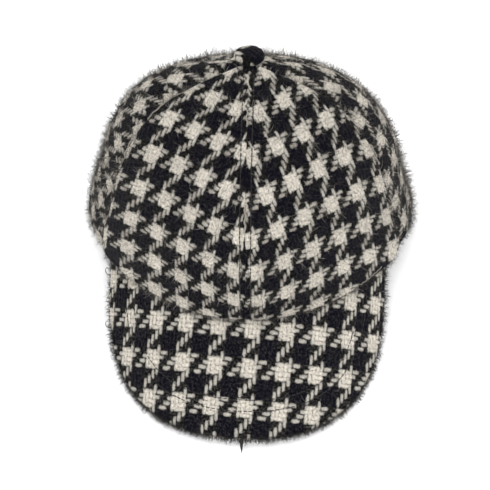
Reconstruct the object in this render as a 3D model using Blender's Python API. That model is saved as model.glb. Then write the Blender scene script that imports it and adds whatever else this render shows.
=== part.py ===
"""A six-panel cloth cap with a curved peak and a covered top button.

Frame: metres, +Z up, with the table the cap stands on at z = 0. The peak points
to -Y. Left and right are as seen from the front, so left is -X. The cap stands
on the two front corners of its peak and on the back of its rim. Its pieces are
shaped upright, and an empty at the foot of the back rim leans them all forward
until the peak meets the table.
"""
import math

import bpy
import numpy as np

MM = 0.001
SMALL_STEP = 0.002          # of a level, an azimuth or an outline's share, for slopes and normals

# Crown. Its apex stands over (0, APEX_Y). Each row is one level of the crown, at
# equal steps from the apex to the rim: the reach from the apex line and the height
# above the table, in mm, on the front, side and back centre lines.
APEX_Y = 35.4 * MM
PROFILE_COLUMNS = ("front_reach", "front_height", "side_reach", "side_height", "back_reach", "back_height")
PROFILE_ROWS_MM = (
    (0, 149, 0, 149, 0, 149),
    (29, 147, 29.5, 142, 23, 131),
    (57, 141, 56, 129.5, 43, 109.5),
    (81, 125, 75, 108, 59, 86),
    (96, 101, 87, 80.5, 77, 60),
    (104, 73, 95, 52, 87.5, 31),
    (106, 44.5, 103, 22, 94, 0),
)
BACK_FOOT_Y = APEX_Y + PROFILE_ROWS_MM[-1][4] * MM
LEAN = math.radians(0.64)   # of the whole cap, about the foot of the back rim
# How the three centre lines leave the apex, in mm for each level.
APEX_SLOPES_MM = (29, -2, 29, -4, 26, -6)
PLAN_FLATTENING = 0.03      # share of the reach lost halfway between the centre lines
BACK_SAG = 1.0 * MM         # how far the cloth of the back rim settles onto the table

CLOTH_THICKNESS = 2.5 * MM
SEAM_GAP = 0.3 * MM         # between two panels, and between the crown and the button
RIM_GAP = 0.45 * MM         # between the peak and the rim that stands on it
SEAM_DIP = 0.9 * MM         # how deep the cloth is drawn in along a seam
SEAM_DIP_WIDTH = 4.5 * MM
SEAM_FADE_RADIUS = 12 * MM  # the dips fade out this near to the apex, under the button
APEX_HOLE_RADIUS = 3.0 * MM
SEAM_EDGE_SHARES = (0, 0.03, 0.08)      # of a panel's width: its finer columns next to a seam
PANEL_MIDDLE_COLUMNS = 10
PANEL_ROWS = 16

# The panels, each from one seam to the next. Azimuth 0 is the front, +90 is right.
# The front panels stand on the peak.
PANELS = (
    {"name": "crown_front_left", "from_azimuth": -65, "to_azimuth": 0, "on_peak": True},
    {"name": "crown_front_right", "from_azimuth": 0, "to_azimuth": 68, "on_peak": True},
    {"name": "crown_side_left", "from_azimuth": -120, "to_azimuth": -65, "on_peak": False},
    {"name": "crown_side_right", "from_azimuth": 68, "to_azimuth": 120, "on_peak": False},
    {"name": "crown_back_left", "from_azimuth": -180, "to_azimuth": -120, "on_peak": False},
    {"name": "crown_back_right", "from_azimuth": 120, "to_azimuth": 180, "on_peak": False},
)

# Peak: a plate bent to a cylinder about a line that runs forward and down. "Across"
# is the arc length from its centre line, "forward" the way from the root to the tip.
PEAK_ROOT_Y = APEX_Y - 106.4 * MM
PEAK_ROOT_HEIGHT = 45.0 * MM
PEAK_SLOPE = math.radians(29.1)
PEAK_BEND_RADIUS = 110 * MM
PEAK_THICKNESS = 4.2 * MM
# Its outline is a superellipse in front of the widest line and straight behind it.
PEAK_HALF_WIDTH = 96 * MM
PEAK_TIP_FORWARD = 67.2 * MM
PEAK_WIDEST_FORWARD = -20 * MM
PEAK_CORNER_FORWARD = -45 * MM
PEAK_ROUNDNESS = 2.2
PEAK_TURN = math.radians(2)             # of the outline to the left, about its middle at the corners
PEAK_ROOT_AZIMUTH = math.radians(58)    # where the root leaves the crown's rim
PEAK_ROOT_TUCK = 4.5 * MM               # how far the root reaches in under the rim
OUTLINE_STEPS = 400         # for measuring lengths along the outline
PEAK_STATIONS = 36
PEAK_CELLS_FORWARD = 9
PEAK_EDGE_STEPS = 4

# Button: a covered dome just behind the apex, held by a shank with a flat head inside.
BUTTON_RADIUS = 8.7 * MM
BUTTON_BACK = 3.5 * MM                  # of its middle behind the apex
BUTTON_RISE = 6.3 * MM
BUTTON_TILT = math.radians(16)
BUTTON_SPOKES = 32
BUTTON_EDGE_LIFT = 0.9 * MM             # of its lower edge over the crown
BUTTON_EDGE_ROUND = 0.6 * MM
APEX_LEVEL = 0.15                       # the levels and steps that the button is fitted to
APEX_STEPS = 60
APEX_TURNS = 5
DOME_ANGLES = (15, 30, 45, 60, 75, 88)  # from the dome's top, in degrees
SHANK_RADIUS = 1.5 * MM
SHANK_HEAD_RADIUS = 4.0 * MM
SHANK_HEAD_DEPTH = 3.8 * MM             # from the crown's outside down to the head
SHANK_HEAD_THICKNESS = 0.8 * MM

DARK_WOOL = (0.10, 0.10, 0.10, 1)
MIXED_WOOL = (0.28, 0.26, 0.24, 1)
WOOL_ROUGHNESS = 0.9
SHARP_ANGLE = math.radians(40)


def profile_at(level):
    """The six profile columns at levels from 0 (apex) to 1 (rim), as smooth curves."""
    rows = np.array(PROFILE_ROWS_MM) * MM
    slopes = np.gradient(rows, axis=0)
    slopes[0] = np.array(APEX_SLOPES_MM) * MM
    place = np.clip(np.asarray(level, float), 0, 1) * (len(rows) - 1)
    cell = np.minimum(place.astype(int), len(rows) - 2)
    s = (place - cell)[..., None]
    start = (1 + 2 * s) * (1 - s) ** 2 * rows[cell] + s * (1 - s) ** 2 * slopes[cell]
    end = s * s * (3 - 2 * s) * rows[cell + 1] - s * s * (1 - s) * slopes[cell + 1]
    columns = np.moveaxis(start + end, -1, 0)
    return dict(zip(PROFILE_COLUMNS, columns))


def crown_surface(level, azimuth):
    """Points of the crown's smooth outside, with no seams in it."""
    p = profile_at(level)
    forward = np.cos(azimuth)
    round_off = 1 - PLAN_FLATTENING * np.sin(2 * azimuth) ** 2
    reach_y = (p["front_reach"] + p["back_reach"]) / 2 * forward
    reach_y = reach_y + (p["front_reach"] - p["back_reach"]) / 2 * forward ** 2
    height = p["side_height"] + (p["front_height"] - p["back_height"]) / 2 * forward
    height = height + ((p["front_height"] + p["back_height"]) / 2 - p["side_height"]) * forward ** 2
    x = round_off * p["side_reach"] * np.sin(azimuth)
    y = APEX_Y - round_off * reach_y
    return np.stack(np.broadcast_arrays(x, y, height), axis=-1)


def crown_normals(level, azimuth):
    """Unit normals of the smooth outside, pointing out of the crown."""
    down = crown_surface(level + SMALL_STEP, azimuth) - crown_surface(level - SMALL_STEP, azimuth)
    around = crown_surface(level, azimuth + SMALL_STEP) - crown_surface(level, azimuth - SMALL_STEP)
    normals = np.cross(down, around)
    return normals / np.linalg.norm(normals, axis=-1, keepdims=True)


def plan_radius(points):
    """Distance of points from the apex line."""
    return np.hypot(points[..., 0], points[..., 1] - APEX_Y)


def peak_point(across, forward, above):
    """A point of the peak; above is its distance over the plate's top face."""
    angle = across / PEAK_BEND_RADIUS
    radius = PEAK_BEND_RADIUS + above
    drop = PEAK_BEND_RADIUS - radius * np.cos(angle)
    x = radius * np.sin(angle)
    y = PEAK_ROOT_Y - forward * math.cos(PEAK_SLOPE) + drop * math.sin(PEAK_SLOPE)
    z = PEAK_ROOT_HEIGHT - forward * math.sin(PEAK_SLOPE) - drop * math.cos(PEAK_SLOPE)
    return np.stack(np.broadcast_arrays(x, y, z), axis=-1)


def peak_place(x, y):
    """Across and forward of the point of the peak's top face over (x, y)."""
    angle = np.arcsin(x / PEAK_BEND_RADIUS)
    drop = PEAK_BEND_RADIUS * (1 - np.cos(angle))
    forward = (PEAK_ROOT_Y + drop * math.sin(PEAK_SLOPE) - y) / math.cos(PEAK_SLOPE)
    return angle * PEAK_BEND_RADIUS, forward


def grid_faces(rows, columns, first, flip):
    """Quads of a grid of rows by columns of vertices."""
    faces = []
    for r in range(rows - 1):
        for c in range(columns - 1):
            a = first + r * columns + c
            quad = (a, a + columns, a + columns + 1, a + 1)
            faces.append(quad[::-1] if flip else quad)
    return faces


def wall_faces(rows, columns):
    """Faces that close two grids, outside first and then inside, into one wall."""
    inside = rows * columns
    faces = grid_faces(rows, columns, 0, False) + grid_faces(rows, columns, inside, True)
    last_row = (rows - 1) * columns
    for c in range(columns - 1):
        faces.append((c, c + 1, c + 1 + inside, c + inside))
        a, b = last_row + c, last_row + c + 1
        faces.append((b, a, a + inside, b + inside))
    # Both sides of a seam are cut along the same diagonals, so that their gap stays even.
    for r in range(rows - 1):
        left, right = r * columns, r * columns + columns - 1
        for upper, flip in ((left, True), (right, False)):
            lower = upper + columns
            for face in ((upper, lower, lower + inside), (upper, lower + inside, upper + inside)):
                faces.append(face[::-1] if flip else face)
    return faces


def make_material(name, colour, roughness):
    material = bpy.data.materials.new(name)
    material.use_nodes = True
    shader = material.node_tree.nodes["Principled BSDF"]
    shader.inputs["Base Color"].default_value = colour
    shader.inputs["Roughness"].default_value = roughness
    shader.inputs["Metallic"].default_value = 0
    return material


def add_object(stand, name, vertices, faces, colour):
    mesh = bpy.data.meshes.new(name)
    mesh.from_pydata([tuple(v) for v in vertices], [], faces)
    mesh.validate()
    mesh.shade_smooth()
    mesh.set_sharp_from_angle(angle=SHARP_ANGLE)
    mesh.materials.append(make_material(name, colour, WOOL_ROUGHNESS))
    item = bpy.data.objects.new(name, mesh)
    bpy.context.scene.collection.objects.link(item)
    item.parent = stand
    item.location = (0, -BACK_FOOT_Y, 0)


def seam_dip(points, azimuth):
    """How far each point is drawn in by the seam nearest to it."""
    depth = np.zeros(points.shape[:-1])
    for panel in PANELS:
        turn = azimuth - math.radians(panel["from_azimuth"])
        turn = np.abs((turn + math.pi) % (2 * math.pi) - math.pi)
        distance = turn * plan_radius(points)
        depth = np.maximum(depth, SEAM_DIP * np.exp(-(distance / SEAM_DIP_WIDTH) ** 2))
    return depth * (1 - np.exp(-(plan_radius(points) / SEAM_FADE_RADIUS) ** 2))


def rim_on_peak(rim):
    """Heights at which the rim stands on the peak."""
    across, forward = peak_place(rim[:, 0], rim[:, 1])
    return peak_point(across, forward, 0)[:, 2] + RIM_GAP


def rim_on_table(rim, height, azimuth):
    """Heights of the rim where it hangs free, and where it has sagged onto the table."""
    sagged = height - BACK_SAG * np.clip(-np.cos(azimuth), 0, 1)
    table = (BACK_FOOT_Y - rim[:, 1]) * math.tan(LEAN)
    return np.maximum(sagged, table)


def add_panel(stand, panel):
    """One panel of the crown: a cloth wall between two seams, from the button to the rim."""
    levels = len(PROFILE_ROWS_MM) - 1
    first_level = APEX_HOLE_RADIUS / (levels * APEX_SLOPES_MM[0] * MM)
    level = np.linspace(first_level, 1, PANEL_ROWS + 1)[:, None]
    start, end = math.radians(panel["from_azimuth"]), math.radians(panel["to_azimuth"])
    start_turn = SEAM_GAP / 2 / plan_radius(crown_surface(level, np.array([[start]])))
    end_turn = SEAM_GAP / 2 / plan_radius(crown_surface(level, np.array([[end]])))
    edge = np.array(SEAM_EDGE_SHARES)
    middle = np.linspace(edge[-1], 1 - edge[-1], PANEL_MIDDLE_COLUMNS + 1)
    shares = np.concatenate([edge[:-1], middle, 1 - edge[-2::-1]])[None, :]
    azimuth = (start + start_turn) * (1 - shares) + (end - end_turn) * shares
    level = np.broadcast_to(level, azimuth.shape)

    smooth = crown_surface(level, azimuth)
    normals = crown_normals(level, azimuth)
    outside = smooth - normals * seam_dip(smooth, azimuth)[..., None]
    inside = outside - normals * CLOTH_THICKNESS
    for surface in (outside, inside):
        rim = surface[-1]
        if panel["on_peak"]:
            rim[:, 2] = rim_on_peak(rim)
        else:
            rim[:, 2] = rim_on_table(rim, smooth[-1, :, 2], azimuth[-1])
    rows, columns = azimuth.shape
    vertices = np.concatenate([outside.reshape(-1, 3), inside.reshape(-1, 3)])
    add_object(stand, panel["name"], vertices, wall_faces(rows, columns), MIXED_WOOL)


def peak_outline(share):
    """Across and forward of the peak's edge; share runs from -1 (left corner) to 1 (right corner)."""
    turn = np.linspace(0, math.pi / 2, OUTLINE_STEPS)
    power = 2 / PEAK_ROUNDNESS
    across = PEAK_HALF_WIDTH * np.sin(turn) ** power
    reach = PEAK_TIP_FORWARD - PEAK_WIDEST_FORWARD
    forward = PEAK_WIDEST_FORWARD + reach * np.cos(turn) ** power
    across = np.append(across, PEAK_HALF_WIDTH)
    forward = np.append(forward, PEAK_CORNER_FORWARD)
    length = np.append(0, np.cumsum(np.hypot(np.diff(across), np.diff(forward))))
    place = np.abs(share) * length[-1]
    side = np.sign(share) * np.interp(place, length, across)
    reach = np.interp(place, length, forward) - PEAK_CORNER_FORWARD
    turned_across = side * math.cos(PEAK_TURN) - reach * math.sin(PEAK_TURN)
    turned_reach = reach * math.cos(PEAK_TURN) + side * math.sin(PEAK_TURN)
    return turned_across, turned_reach + PEAK_CORNER_FORWARD


def add_peak(stand):
    """The peak: a bent plate with a round outer edge, its root tucked in under the rim."""
    share = np.linspace(-1, 1, PEAK_STATIONS + 1)
    rim = crown_surface(np.ones_like(share), share * PEAK_ROOT_AZIMUTH)
    inward = 1 - PEAK_ROOT_TUCK / plan_radius(rim)
    root_across, root_forward = peak_place(rim[:, 0] * inward, APEX_Y + (rim[:, 1] - APEX_Y) * inward)
    edge_across, edge_forward = peak_outline(share)
    near_across, near_forward = peak_outline(np.clip(share - SMALL_STEP, -1, 1))
    far_across, far_forward = peak_outline(np.clip(share + SMALL_STEP, -1, 1))
    out_across, out_forward = near_forward - far_forward, far_across - near_across
    size = np.hypot(out_across, out_forward)
    out_across, out_forward = out_across / size, out_forward / size
    round_radius = PEAK_THICKNESS / 2
    base_across = edge_across - round_radius * out_across
    base_forward = edge_forward - round_radius * out_forward

    rows = []
    for part in np.linspace(0, 1, PEAK_CELLS_FORWARD + 1):
        across = root_across + part * (base_across - root_across)
        forward = root_forward + part * (base_forward - root_forward)
        rows.append(peak_point(across, forward, 0))
    for turn in np.linspace(math.pi / 2, -math.pi / 2, PEAK_EDGE_STEPS + 1)[1:-1]:
        out = round_radius * math.cos(turn)
        above = round_radius * (math.sin(turn) - 1)
        rows.append(peak_point(base_across + out * out_across, base_forward + out * out_forward, above))
    for part in np.linspace(1, 0, PEAK_CELLS_FORWARD + 1):
        across = root_across + part * (base_across - root_across)
        forward = root_forward + part * (base_forward - root_forward)
        rows.append(peak_point(across, forward, -PEAK_THICKNESS))

    columns = PEAK_STATIONS + 1
    faces = grid_faces(len(rows), columns, 0, False)
    last = (len(rows) - 1) * columns
    faces += [(last + c, c, c + 1, last + c + 1) for c in range(columns - 1)]
    for column, flip in ((0, False), (columns - 1, True)):
        for r in range(len(rows) // 2):
            top, under = r * columns + column, (len(rows) - 1 - r) * columns + column
            end_face = (top, under, under - columns, top + columns)
            if end_face[2] == end_face[3]:
                end_face = end_face[:3]
            faces.append(end_face[::-1] if flip else end_face)
    add_object(stand, "peak", np.concatenate(rows), faces, MIXED_WOOL)


def crown_height(points):
    """Heights of the crown's outside at places near the apex."""
    wanted = np.arctan2(points[:, 0], APEX_Y - points[:, 1])
    distance = plan_radius(points)
    level = np.linspace(0, APEX_LEVEL, APEX_STEPS)[:, None]
    azimuth = wanted.copy()
    for _ in range(APEX_TURNS):
        line = crown_surface(level, azimuth[None, :])
        away = plan_radius(line)
        found = np.array([[np.interp(distance[k], away[:, k], line[:, k, axis]) for axis in range(3)]
                          for k in range(len(points))])
        miss = wanted - np.arctan2(found[:, 0], APEX_Y - found[:, 1])
        azimuth = azimuth + (miss + math.pi) % (2 * math.pi) - math.pi
    return found[:, 2]


def add_button(stand):
    """The button: a dome whose underside follows the crown, with its shank and head."""
    spokes = np.linspace(0, 2 * math.pi, BUTTON_SPOKES, endpoint=False)
    middle = np.array([[0, APEX_Y + BUTTON_BACK, 0]])
    base_height = crown_height(middle)[0] + SEAM_GAP

    def ring(radius, back, height_of):
        points = np.stack([radius * np.sin(spokes), APEX_Y + back - radius * np.cos(spokes), 0 * spokes], axis=1)
        points[:, 2] = height_of(points)
        return points

    def dome(rise):
        return lambda p: base_height + rise - (p[:, 1] - middle[0, 1]) * math.tan(BUTTON_TILT)

    def below_crown(depth):
        return lambda p: crown_height(p) - depth

    rings = []
    for degrees in DOME_ANGLES:
        turn = math.radians(degrees)
        rings.append(ring(BUTTON_RADIUS * math.sin(turn), BUTTON_BACK, dome(BUTTON_RISE * math.cos(turn))))
    rings.append(ring(BUTTON_RADIUS, BUTTON_BACK, below_crown(-BUTTON_EDGE_LIFT)))
    rings.append(ring(BUTTON_RADIUS - BUTTON_EDGE_ROUND, BUTTON_BACK, below_crown(-SEAM_GAP)))
    rings.append(ring((BUTTON_RADIUS + SHANK_RADIUS) / 2, BUTTON_BACK / 2, below_crown(-SEAM_GAP)))
    rings.append(ring(SHANK_RADIUS, 0, below_crown(-SEAM_GAP)))
    rings.append(ring(SHANK_RADIUS, 0, below_crown(SHANK_HEAD_DEPTH)))
    rings.append(ring(SHANK_HEAD_RADIUS, 0, below_crown(SHANK_HEAD_DEPTH)))
    rings.append(ring(SHANK_HEAD_RADIUS, 0, below_crown(SHANK_HEAD_DEPTH + SHANK_HEAD_THICKNESS)))

    top = np.array([[0, middle[0, 1], base_height + BUTTON_RISE]])
    foot = rings[-1].mean(axis=0)[None, :]
    vertices = np.concatenate([top] + rings + [foot])
    faces = []
    count = BUTTON_SPOKES
    for k in range(count):
        n = (k + 1) % count
        faces.append((0, 1 + k, 1 + n))
        for r in range(len(rings) - 1):
            a, b = 1 + r * count, 1 + (r + 1) * count
            faces.append((a + k, b + k, b + n, a + n))
        last = 1 + (len(rings) - 1) * count
        faces.append((last + k, len(vertices) - 1, last + n))
    add_object(stand, "top_button", vertices, faces, DARK_WOOL)


def main():
    for item in list(bpy.data.objects):
        bpy.data.objects.remove(item, do_unlink=True)
    stand = bpy.data.objects.new("cap_foot", None)
    stand.location = (0, BACK_FOOT_Y, 0)
    stand.rotation_euler = (LEAN, 0, 0)
    bpy.context.scene.collection.objects.link(stand)
    for panel in PANELS:
        add_panel(stand, panel)
    add_peak(stand)
    add_button(stand)


main()
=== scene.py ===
"""The looks of the houndstooth cap: its cloth, fuzz, stitches and button, with the floor, light and camera.

Lengths are in metres. The cap is shaped upright, with the foot of its back rim on the floor, and every
piece is then leaned forward onto the peak, as the frame is. Left and right are as seen from the front.
Threads are counted across a panel (U, to the right) and down it (V, towards the rim or the peak's edge).
"""
import math

import bpy
import numpy as np
from mathutils import Matrix


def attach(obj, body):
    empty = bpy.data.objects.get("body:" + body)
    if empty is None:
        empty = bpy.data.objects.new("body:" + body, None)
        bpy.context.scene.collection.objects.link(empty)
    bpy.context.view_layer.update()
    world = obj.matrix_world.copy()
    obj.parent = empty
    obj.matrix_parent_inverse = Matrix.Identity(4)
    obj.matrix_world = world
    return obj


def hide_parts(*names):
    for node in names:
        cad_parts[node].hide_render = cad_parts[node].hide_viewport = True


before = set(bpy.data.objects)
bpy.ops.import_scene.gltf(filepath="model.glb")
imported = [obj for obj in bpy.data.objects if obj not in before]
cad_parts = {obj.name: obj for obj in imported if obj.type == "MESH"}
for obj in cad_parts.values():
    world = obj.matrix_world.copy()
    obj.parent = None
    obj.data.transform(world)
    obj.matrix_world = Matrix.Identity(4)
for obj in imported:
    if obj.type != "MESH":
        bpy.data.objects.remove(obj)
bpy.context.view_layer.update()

MM = 0.001

# ---------------------------------------------------------------- the cap's shape, as in the frame

APEX_Y = 35.4 * MM
# From the apex to the rim: reach and height in front, at the sides and at the back.
PROFILE_ROWS_MM = (
    (0, 149, 0, 149, 0, 149),
    (29, 147, 29.5, 142, 23, 131),
    (57, 141, 56, 129.5, 43, 109.5),
    (81, 125, 75, 108, 59, 86),
    (96, 101, 87, 80.5, 77, 60),
    (104, 73, 95, 52, 87.5, 31),
    (106, 44.5, 103, 22, 94, 0),
)
APEX_SLOPES_MM = (29, -2, 29, -4, 26, -6)
PLAN_FLATTENING = 0.03
BACK_FOOT_Y = APEX_Y + PROFILE_ROWS_MM[-1][4] * MM
BACK_SAG = 1.0 * MM
LEAN = math.radians(0.64)

PEAK_ROOT_Y = APEX_Y - 106.4 * MM
PEAK_ROOT_HEIGHT = 45.0 * MM
PEAK_SLOPE = math.radians(29.1)
PEAK_BEND_RADIUS = 110 * MM
PEAK_THICKNESS = 4.2 * MM
PEAK_HALF_WIDTH = 96 * MM
PEAK_TIP_FORWARD = 67.2 * MM
PEAK_WIDEST_FORWARD = -20 * MM
PEAK_CORNER_FORWARD = -45 * MM
PEAK_ROUNDNESS = 2.2
PEAK_ROOT_TUCK = 2.4 * MM
PEAK_ROOT_AZIMUTH = math.radians(58)
PEAK_TURN = math.radians(2)     # of the outline to the left, about its middle at the corners
OUTLINE_STEPS = 400
RIM_GAP = 0.45 * MM
RIM_LEAVES_PEAK = (62, 70)      # azimuths, in degrees: from one to the other the rim comes off the peak
RIM_FIT_LEVEL = 0.9375          # from here down a panel is fitted to the peak and the floor

BUTTON_RADIUS = 8.7 * MM
BUTTON_EDGE = 1.5 * MM          # the radius of its rounded edge
BUTTON_BACK = 3.5 * MM          # of its middle behind the apex
BUTTON_TILT = math.radians(16)
BUTTON_LIFT = 4.1 * MM          # of its upper edge over the crown, at its middle
BUTTON_BULGE = 2.4 * MM
BUTTON_SEAT = 0.4 * MM
SHANK_PROFILE_MM = ((1.5, 0.8), (1.5, -3.8), (4.0, -3.8), (4.0, -4.6))      # reach and height over the crown
SHANK_SIDES = 24

# ---------------------------------------------------------------- the cloth

THREADS = 8                     # in one repeat of the check, each way: four cream, four black
CROWN_REPEAT = (18.8 * MM, 22.14 * MM)
PEAK_REPEAT = (19.89 * MM, 22.94 * MM)
STAR_AT = (2, 6)                # the thread counts at the middle of a cream star
SQUARE_AT = (6, 2)              # and at the middle of a black square
CLOTH_THICKNESS = 2.4 * MM
# How the check lies on each panel: the repeats counted across and down it, each as a constant plus shares of
# A, D, A squared, A * D, D squared and D cubed. A is the place across from the grain line and D the place
# down from CHECK_MIDDLE, both in CHECK_SPANs. The grain line is at an azimuth, in degrees like the panel's
# start and end, and every whole count is a star's middle.
CHECK_MIDDLE = 80 * MM
CHECK_SPAN = 50 * MM
STRAIGHT_FROM = (0.7, 1.3)
CHECK_REACH = 2.2
PANELS = (
    {"name": "crown_front_left", "start": -65, "end": 0, "grain": -30,
     "across": (1.26, 2.81, 0.22, 0.61, -0.25, 0.07, -0.14),
     "down": (2.23, 0.07, 2.33, -0.58, 0, -0.03, -0.02)},
    {"name": "crown_front_right", "start": 0, "end": 68, "grain": 30,
     "across": (1.62, 2.76, -0.3, -0.31, -0.18, -0.03, 0.11),
     "down": (2.17, 0.04, 2.31, -0.55, -0.15, -0.04, -0.03)},
    {"name": "crown_side_left", "start": -120, "end": -65, "grain": -92.5,
     "across": (0.25, 2.56, 0.73, 0, 0, 0, 0), "down": (3.64, -0.62, 2.17, -0.45, 0, 0, 0)},
    {"name": "crown_side_right", "start": 68, "end": 120, "grain": 94,
     "across": (-0.62, 2.65, -0.28, 0, 0, 0, 0), "down": (3.39, 0.24, 2.25, -0.23, 0, 0, 0)},
    {"name": "crown_back_left", "start": -180, "end": -120, "grain": -150,
     "across": (-0.21, 2.66, 0, 0, 0, 0, 0), "down": (3.25, 0, 2.26, -0.28, 0, 0, 0)},
    {"name": "crown_back_right", "start": 120, "end": 180, "grain": 150,
     "across": (0.21, 2.66, 0, 0, 0, 0, 0), "down": (3.07, 0, 2.26, -0.28, 0, 0, 0)},
)
PEAK_STAR = (-15.3 * MM, 3.4 * MM)
PEAK_CHECK_TURN = math.radians(4.46)
BUTTON_SQUARE = (4.1 * MM, 1.0 * MM)
BUTTON_STRETCH = 1.3            # of the cloth drawn over the button
BUTTON_CHECK_TURN = math.radians(45)

CROWN_RELIEF = 0.3 * MM         # of the threads over the hollows between them
PEAK_RELIEF = 0.4 * MM
SUB_CELLS = 4                   # mesh cells for each thread, each way
EDGE_RADIUS = CLOTH_THICKNESS / 2
EDGE_SHARE = 0.26               # of a narrow panel's width, at most, for the radius of its edge
FIRST_RADIUS = 3.2 * MM         # the panels begin this far from the apex, under the button
SEAM_DIP = 0.9 * MM
SEAM_DIP_WIDTH = 4.0 * MM
SEAM_FADE_RADIUS = 12 * MM      # the dips fade out this near to the apex, under the button
SEAM_SLIT = -0.1 * MM           # sewn cloth is pressed together at its edges
UNEVENNESS = 0.45 * MM          # of the soft crown, in waves
UNEVEN_RADIUS = 30 * MM         # the waves fade out nearer to the apex than this
WAVES = 9
WAVE_LENGTH = 42 * MM
WAVE_SEED = 11
TOPSTITCH_OFFSET = 3.0 * MM     # of the stitch rows beside the centre seam
PEAK_STITCH_OFFSETS = (16.2 * MM, 22.6 * MM)
GROOVE_DEPTH = 0.45 * MM
GROOVE_WIDTH = 0.7 * MM

# ---------------------------------------------------------------- small tools

NORMAL_STEP = 0.002             # in level and in azimuth
FLAT_STEP = 0.5 * MM            # for slopes measured on flat cloth
OUTLINE_STEP = 0.4 * MM         # for the direction of an outline
SHARE_STEP = 0.004              # for the direction of the peak's edge
COUNT_STEP = 1e-4               # for how thread counts change with the place on a panel
SOLVER_PASSES = 12
SOLVED_WITHIN = 0.01            # of a thread
PANEL_LAST_LEVEL = 1.03         # a panel laid flat runs on this far below the rim
PANEL_BESIDE = 0.12             # and this far beside its seams
PANEL_LEVELS, PANEL_AZIMUTHS, PANEL_SHARES = 260, 180, 240      # the sizes of its tables
WIDTH_ROWS = 60                 # at which a panel's width is measured
PINCH_PASSES = 6                # over cells that touch at one corner only


def unit(vectors):
    return vectors / np.maximum(np.linalg.norm(vectors, axis=-1, keepdims=True), 1e-12)


def rotated(x, y, turn):
    return x * math.cos(turn) - y * math.sin(turn), x * math.sin(turn) + y * math.cos(turn)


def wrapped(angle):
    """The same angle, within half a turn of 0."""
    return (angle + math.pi) % math.tau - math.pi


def lengths_along(path):
    """How far along a path each of its points is."""
    return np.append(0, np.cumsum(np.linalg.norm(np.diff(path, axis=0), axis=1)))


def read_rows(places, at, rows):
    """Rows of numbers between those given at some places."""
    return np.stack([np.interp(places, at, column) for column in rows.T], axis=1)


def left_of(along):
    """Flat directions turned a quarter to their left."""
    return np.stack([-along[..., 1], along[..., 0]], axis=-1)


# ---------------------------------------------------------------- the crown's and the peak's surfaces

def profile_at(level):
    """The six profile columns at levels from 0 (apex) to 1 (rim), as smooth curves."""
    rows = np.array(PROFILE_ROWS_MM) * MM
    slopes = np.gradient(rows, axis=0)
    slopes[0] = np.array(APEX_SLOPES_MM) * MM
    place = np.clip(np.asarray(level, float), 0, 1) * (len(rows) - 1)
    cell = np.minimum(place.astype(int), len(rows) - 2)
    s = (place - cell)[..., None]
    start = (1 + 2 * s) * (1 - s) ** 2 * rows[cell] + s * (1 - s) ** 2 * slopes[cell]
    end = s * s * (3 - 2 * s) * rows[cell + 1] - s * s * (1 - s) * slopes[cell + 1]
    return np.moveaxis(start + end, -1, 0)


def crown_surface(level, azimuth):
    """Points of the crown's smooth outside, with no seams in it."""
    front_reach, front_height, side_reach, side_height, back_reach, back_height = profile_at(level)
    forward = np.cos(azimuth)
    round_off = 1 - PLAN_FLATTENING * np.sin(2 * azimuth) ** 2
    reach_y = (front_reach + back_reach) / 2 * forward
    reach_y = reach_y + (front_reach - back_reach) / 2 * forward ** 2
    height = side_height + (front_height - back_height) / 2 * forward
    height = height + ((front_height + back_height) / 2 - side_height) * forward ** 2
    x = round_off * side_reach * np.sin(azimuth)
    return np.stack(np.broadcast_arrays(x, APEX_Y - round_off * reach_y, height), axis=-1)


def crown_normals(level, azimuth):
    """Unit normals of the smooth outside, pointing out of the crown."""
    down = crown_surface(level + NORMAL_STEP, azimuth) - crown_surface(level - NORMAL_STEP, azimuth)
    around = crown_surface(level, azimuth + NORMAL_STEP) - crown_surface(level, azimuth - NORMAL_STEP)
    return unit(np.cross(down, around))


def level_near_apex(distance):
    return distance / ((len(PROFILE_ROWS_MM) - 1) * APEX_SLOPES_MM[0] * MM)


def plan_radius(points):
    return np.hypot(points[..., 0], points[..., 1] - APEX_Y)


def peak_point(across, forward, above):
    """A point of the peak; above is its distance over the plate's top face."""
    angle = across / PEAK_BEND_RADIUS
    radius = PEAK_BEND_RADIUS + above
    drop = PEAK_BEND_RADIUS - radius * np.cos(angle)
    x = radius * np.sin(angle)
    y = PEAK_ROOT_Y - forward * math.cos(PEAK_SLOPE) + drop * math.sin(PEAK_SLOPE)
    z = PEAK_ROOT_HEIGHT - forward * math.sin(PEAK_SLOPE) - drop * math.cos(PEAK_SLOPE)
    return np.stack(np.broadcast_arrays(x, y, z), axis=-1)


def peak_place(x, y):
    """Across and forward of the point of the peak's top face over (x, y)."""
    angle = np.arcsin(np.clip(x / PEAK_BEND_RADIUS, -1, 1))
    drop = PEAK_BEND_RADIUS * (1 - np.cos(angle))
    forward = (PEAK_ROOT_Y + drop * math.sin(PEAK_SLOPE) - y) / math.cos(PEAK_SLOPE)
    return angle * PEAK_BEND_RADIUS, forward


def rim_heights(points, azimuth):
    """Heights of the rim: on the peak in front, hanging at the sides and on the floor at the back."""
    on_peak = peak_point(*peak_place(points[..., 0], points[..., 1]), 0)[..., 2] + RIM_GAP
    sagged = points[..., 2] - BACK_SAG * np.clip(-np.cos(azimuth), 0, 1)
    hanging = np.maximum(sagged, (BACK_FOOT_Y - points[..., 1]) * math.tan(LEAN))
    first, last = RIM_LEAVES_PEAK
    share = np.clip((np.degrees(np.abs(azimuth)) - first) / (last - first), 0, 1)
    return on_peak * (1 - share) + hanging * share


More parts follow.
